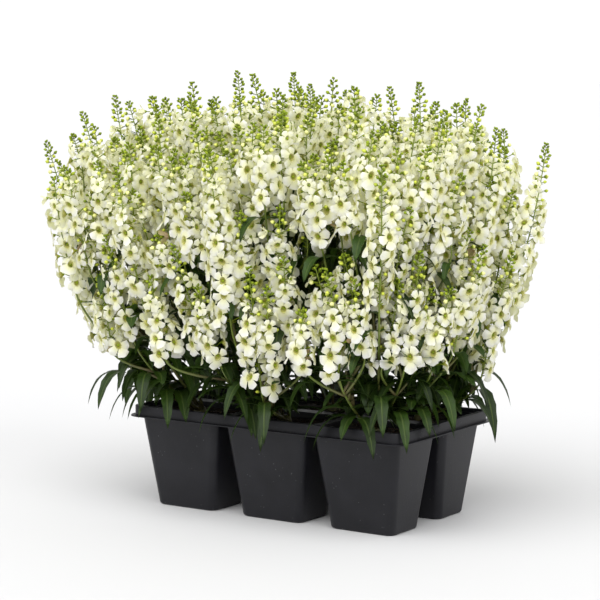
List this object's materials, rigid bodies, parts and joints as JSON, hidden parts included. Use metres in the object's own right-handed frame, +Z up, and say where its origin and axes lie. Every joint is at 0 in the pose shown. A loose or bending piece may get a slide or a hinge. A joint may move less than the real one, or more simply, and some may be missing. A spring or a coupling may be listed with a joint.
{
  "type": "potted summer snapdragon",
  "caption": "Bushy summer snapdragon plants with upright spikes of open florets, in a black multi-cell nursery pack that stands on its cell floors.",
  "frame": {"origin": "centre of the whole part's footprint box, on the surface that the cells stand on", "axes": "+Z up, X along the pack's three cells and the plants' widest spread, +Y to the back row"},
  "size_m": [0.4212, 0.3098, 0.3771],
  "materials": {
    "pack": "satin black thermoformed sheet",
    "soil": "matt dark peat, lumpy",
    "green": "satin leaf, paler on bud spires",
    "petals": "matt, slightly translucent white petal with a yellow-green throat"
  },
  "bodies": {
    "root": {"cell_pack": "pack", "flowers_back_left_1": "petals", "flowers_back_left_2": "petals", "flowers_back_left_3": "petals", "flowers_back_left_4": "petals", "flowers_back_left_5": "petals", "flowers_back_left_6": "petals", "flowers_back_left_7": "petals", "flowers_back_left_8": "petals", "flowers_back_middle_1": "petals", "flowers_back_middle_2": "petals", "flowers_back_middle_3": "petals", "flowers_back_middle_4": "petals", "flowers_back_middle_5": "petals", "flowers_back_middle_6": "petals", "flowers_back_right_1": "petals", "flowers_back_right_2": "petals", "flowers_back_right_3": "petals", "flowers_back_right_4": "petals", "flowers_back_right_5": "petals", "flowers_back_right_6": "petals", "flowers_back_right_7": "petals", "flowers_back_right_8": "petals", "flowers_front_left_1": "petals", "flowers_front_left_2": "petals", "flowers_front_left_3": "petals", "flowers_front_left_4": "petals", "flowers_front_left_5": "petals", "flowers_front_left_6": "petals", "flowers_front_left_7": "petals", "flowers_front_left_8": "petals", "flowers_front_middle_1": "petals", "flowers_front_middle_2": "petals", "flowers_front_middle_3": "petals", "flowers_front_middle_4": "petals", "flowers_front_middle_5": "petals", "flowers_front_middle_6": "petals", "flowers_front_middle_7": "petals", "flowers_front_middle_8": "petals", "flowers_front_right_1": "petals", "flowers_front_right_2": "petals", "flowers_front_right_3": "petals", "flowers_front_right_4": "petals", "flowers_front_right_5": "petals", "flowers_front_right_6": "petals", "flowers_front_right_7": "petals", "plant_back_left": "green", "plant_back_middle": "green", "plant_back_right": "green", "plant_front_left": "green", "plant_front_middle": "green", "plant_front_right": "green", "soil_back_left": "soil", "soil_back_middle": "soil", "soil_back_right": "soil", "soil_front_left": "soil", "soil_front_middle": "soil", "soil_front_right": "soil"}
  },
  "joints": []
}
